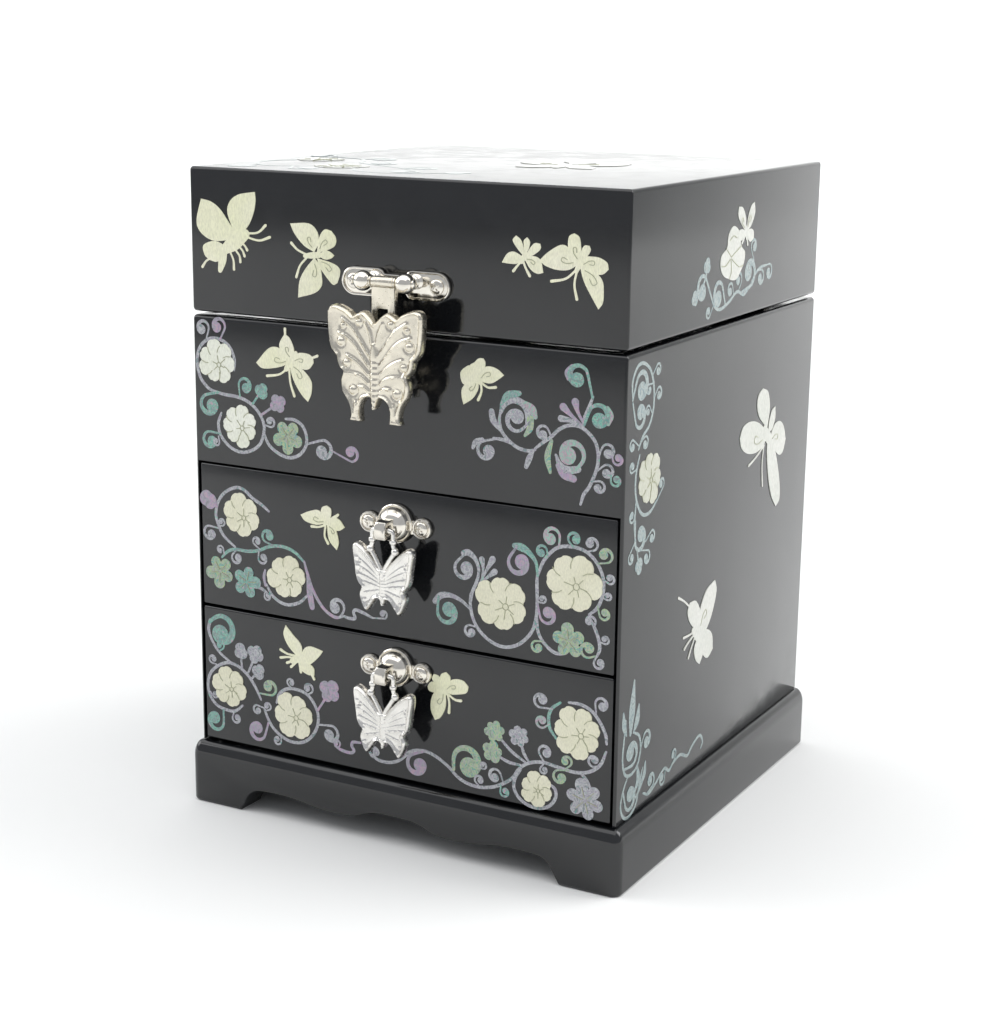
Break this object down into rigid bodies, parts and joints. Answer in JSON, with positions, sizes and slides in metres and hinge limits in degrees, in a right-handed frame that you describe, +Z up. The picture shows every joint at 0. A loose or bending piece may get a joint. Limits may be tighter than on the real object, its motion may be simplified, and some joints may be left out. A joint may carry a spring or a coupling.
{
  "type": "jewellery chest",
  "caption": "Black-lacquer jewellery chest with pearl inlay, a deep hinged lid over a lined well, drawers with butterfly pulls and a butterfly hasp.",
  "frame": {"origin": "bottom centre of the whole object's box, on the surface the chest stands on", "axes": "+Z up, the drawers and the hasp face -Y, +X to the right seen from the front"},
  "size_m": [0.1662, 0.1798, 0.2207],
  "materials": {
    "lacquer": "high-gloss black lacquer over wood",
    "inside_wood": "satin dark stain",
    "velvet": "deep red velvet",
    "nickel": "polished nickel",
    "cast_silver": "satin cast metal with bright raised rims",
    "mirror_glass": "mirror"
  },
  "bodies": {
    "cabinet": {"back_panel": "lacquer", "bottom_board": "inside_wood", "drawer_divider": "inside_wood", "front_panel": "lacquer", "hasp_keeper": "nickel", "hinge_left_body_leaf": "nickel", "hinge_left_body_screw_a": "nickel", "hinge_left_body_screw_b": "nickel", "hinge_left_pin": "nickel", "hinge_right_body_leaf": "nickel", "hinge_right_body_screw_a": "nickel", "hinge_right_body_screw_b": "nickel", "hinge_right_pin": "nickel", "plinth_back": "lacquer", "plinth_front": "lacquer", "plinth_left": "lacquer", "plinth_right": "lacquer", "ring_cushion": "velvet", "side_left": "lacquer", "side_right": "lacquer", "well_floor": "inside_wood", "well_lining": "velvet"},
    "lid": {"hasp_pin": "nickel", "hasp_plate": "nickel", "hasp_screw_left": "nickel", "hasp_screw_right": "nickel", "hinge_left_lid_leaf": "nickel", "hinge_left_lid_screw_a": "nickel", "hinge_left_lid_screw_b": "nickel", "hinge_right_lid_leaf": "nickel", "hinge_right_lid_screw_a": "nickel", "hinge_right_lid_screw_b": "nickel", "lid_back": "lacquer", "lid_front": "lacquer", "lid_left": "lacquer", "lid_lining": "velvet", "lid_mirror": "mirror_glass", "lid_right": "lacquer", "lid_top": "lacquer"},
    "hasp": {"hasp_butterfly": "cast_silver"},
    "upper_drawer": {"upper_drawer_back": "inside_wood", "upper_drawer_bottom": "inside_wood", "upper_drawer_front": "lacquer", "upper_drawer_left": "inside_wood", "upper_drawer_lining": "velvet", "upper_drawer_pull_plate": "nickel", "upper_drawer_right": "inside_wood", "upper_drawer_screw_left": "nickel", "upper_drawer_screw_right": "nickel"},
    "upper_pull": {"upper_drawer_pull_butterfly": "cast_silver"},
    "lower_drawer": {"lower_drawer_back": "inside_wood", "lower_drawer_bottom": "inside_wood", "lower_drawer_front": "lacquer", "lower_drawer_left": "inside_wood", "lower_drawer_lining": "velvet", "lower_drawer_pull_plate": "nickel", "lower_drawer_right": "inside_wood", "lower_drawer_screw_left": "nickel", "lower_drawer_screw_right": "nickel"},
    "lower_pull": {"lower_drawer_pull_butterfly": "cast_silver"}
  },
  "joints": [
    {"name": "lid_hinge", "type": "hinge", "parent": "cabinet", "child": "lid", "pos_m": [0, 0.0876, 0.1725], "axis": [-1, 0, 0], "range_deg": [0, 100]},
    {"name": "hasp_swing", "type": "hinge", "parent": "lid", "child": "hasp", "pos_m": [0, -0.083, 0.189], "axis": [-1, 0, 0], "range_deg": [0, 150]},
    {"name": "upper_drawer_slide", "type": "slide", "parent": "cabinet", "child": "upper_drawer", "axis": [0, -1, 0], "range_m": [0, 0.11]},
    {"name": "upper_pull_swing", "type": "hinge", "parent": "upper_drawer", "child": "upper_pull", "pos_m": [0, -0.0839, 0.1101], "axis": [-1, 0, 0], "range_deg": [0, 85]},
    {"name": "lower_drawer_slide", "type": "slide", "parent": "cabinet", "child": "lower_drawer", "axis": [0, -1, 0], "range_m": [0, 0.11]},
    {"name": "lower_pull_swing", "type": "hinge", "parent": "lower_drawer", "child": "lower_pull", "pos_m": [0, -0.0839, 0.0616], "axis": [-1, 0, 0], "range_deg": [0, 85]}
  ]
}
